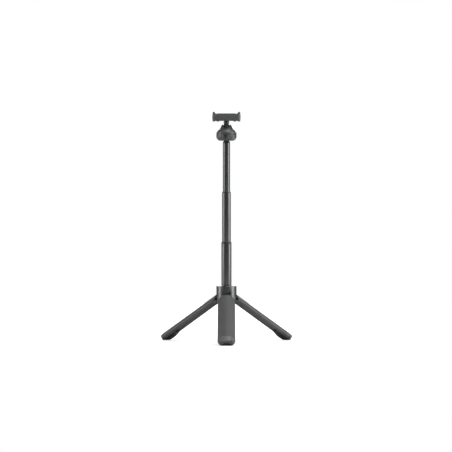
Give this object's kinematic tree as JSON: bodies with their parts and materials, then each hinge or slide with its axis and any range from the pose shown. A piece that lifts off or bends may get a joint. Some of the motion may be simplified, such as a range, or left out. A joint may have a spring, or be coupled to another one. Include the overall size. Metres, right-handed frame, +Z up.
{
  "type": "selfie stick",
  "caption": "Folding tripod selfie stick with a telescoping rod, a ball head with a lobed locking knob and a quick-release camera clip, standing on open legs.",
  "frame": {"origin": "centre of the open tripod's footprint box, at the level the feet stand on", "axes": "+Z up along the rod, -Y out along the front leg, +X to the right seen from the front leg"},
  "size_m": [0.213, 0.1851, 0.3679],
  "materials": {
    "collar_metal": "satin",
    "tube_metal": "satin",
    "leg_frame": "satin",
    "leg_grip": "matte",
    "foot_rubber": "matte",
    "bush_plastic": "matte",
    "head_plastic": "satin",
    "knob_plastic": "satin",
    "clip_plastic": "matte",
    "ball_metal": "gloss",
    "steel": "satin",
    "brass": "satin"
  },
  "bodies": {
    "handle": {"collar": "collar_metal", "collar_guide": "bush_plastic", "core_tube": "tube_metal", "core_plug": "bush_plastic", "front_hinge_pin": "steel", "right_hinge_pin": "steel", "left_hinge_pin": "steel"},
    "front_leg": {"front_leg_shell": "leg_frame", "front_leg_grip": "leg_grip", "front_leg_foot": "foot_rubber"},
    "right_leg": {"right_leg_shell": "leg_frame", "right_leg_grip": "leg_grip", "right_leg_foot": "foot_rubber"},
    "left_leg": {"left_leg_shell": "leg_frame", "left_leg_grip": "leg_grip", "left_leg_foot": "foot_rubber"},
    "lower_stage": {"lower_tube": "tube_metal", "lower_bush": "bush_plastic", "lower_mouth_ring": "bush_plastic"},
    "middle_stage": {"middle_tube": "tube_metal", "middle_bush": "bush_plastic", "middle_mouth_ring": "bush_plastic"},
    "upper_stage": {"upper_tube": "tube_metal", "upper_bush": "bush_plastic", "rod_plug": "head_plastic", "ball_socket": "head_plastic", "ball_cup": "brass"},
    "knob": {"locking_knob": "knob_plastic", "knob_thread": "brass"},
    "stud": {"ball_stud": "ball_metal"},
    "clip": {"clip_base": "clip_plastic", "clip_seat": "clip_plastic", "clip_screw": "steel", "left_hook_pin": "steel", "right_hook_pin": "steel", "left_hook_spring": "steel", "right_hook_spring": "steel", "left_magnet": "steel", "right_magnet": "steel", "left_bumper": "foot_rubber", "right_bumper": "foot_rubber"},
    "left_latch": {"left_hook": "clip_plastic"},
    "right_latch": {"right_hook": "clip_plastic"}
  },
  "joints": [
    {"name": "front_leg_hinge", "type": "hinge", "parent": "handle", "child": "front_leg", "pos_m": [0, 0.0126, 0.074], "axis": [1, 0, 0], "range_deg": [0, 57]},
    {"name": "right_leg_hinge", "type": "hinge", "parent": "handle", "child": "right_leg", "pos_m": [0.01039, 0.0306, 0.074], "axis": [-0.5, 0.866, 0], "range_deg": [0, 57]},
    {"name": "left_leg_hinge", "type": "hinge", "parent": "handle", "child": "left_leg", "pos_m": [-0.01039, 0.0306, 0.074], "axis": [-0.5, -0.866, 0], "range_deg": [0, 57]},
    {"name": "lower_slide", "type": "slide", "parent": "handle", "child": "lower_stage", "axis": [0, 0, 1], "range_m": [-0.0675, 0]},
    {"name": "middle_slide", "type": "slide", "parent": "lower_stage", "child": "middle_stage", "axis": [0, 0, 1], "range_m": [-0.068, 0]},
    {"name": "upper_slide", "type": "slide", "parent": "middle_stage", "child": "upper_stage", "axis": [0, 0, 1], "range_m": [-0.0785, 0]},
    {"name": "knob_turn", "type": "hinge", "parent": "upper_stage", "child": "knob", "pos_m": [0, 0.0246, 0.331], "axis": [0, 0, 1], "range_deg": [0, 90]},
    {"name": "ball_tilt", "type": "hinge", "parent": "upper_stage", "child": "stud", "pos_m": [0, 0.0246, 0.343], "axis": [1, 0, 0], "range_deg": [-50, 50]},
    {"name": "clip_spin", "type": "hinge", "parent": "stud", "child": "clip", "pos_m": [0, 0.0246, 0.3537], "axis": [0, 0, 1], "continuous": true},
    {"name": "left_hook_press", "type": "hinge", "parent": "clip", "child": "left_latch", "pos_m": [-0.0196, 0.0246, 0.3596], "axis": [0, -1, 0], "range_deg": [0, 6], "stiffness_Nm_per_rad": 0.15, "springref_deg": -5.73},
    {"name": "right_hook_press", "type": "hinge", "parent": "clip", "child": "right_latch", "pos_m": [0.0196, 0.0246, 0.3596], "axis": [0, 1, 0], "range_deg": [0, 6], "stiffness_Nm_per_rad": 0.15, "springref_deg": -5.73}
  ]
}
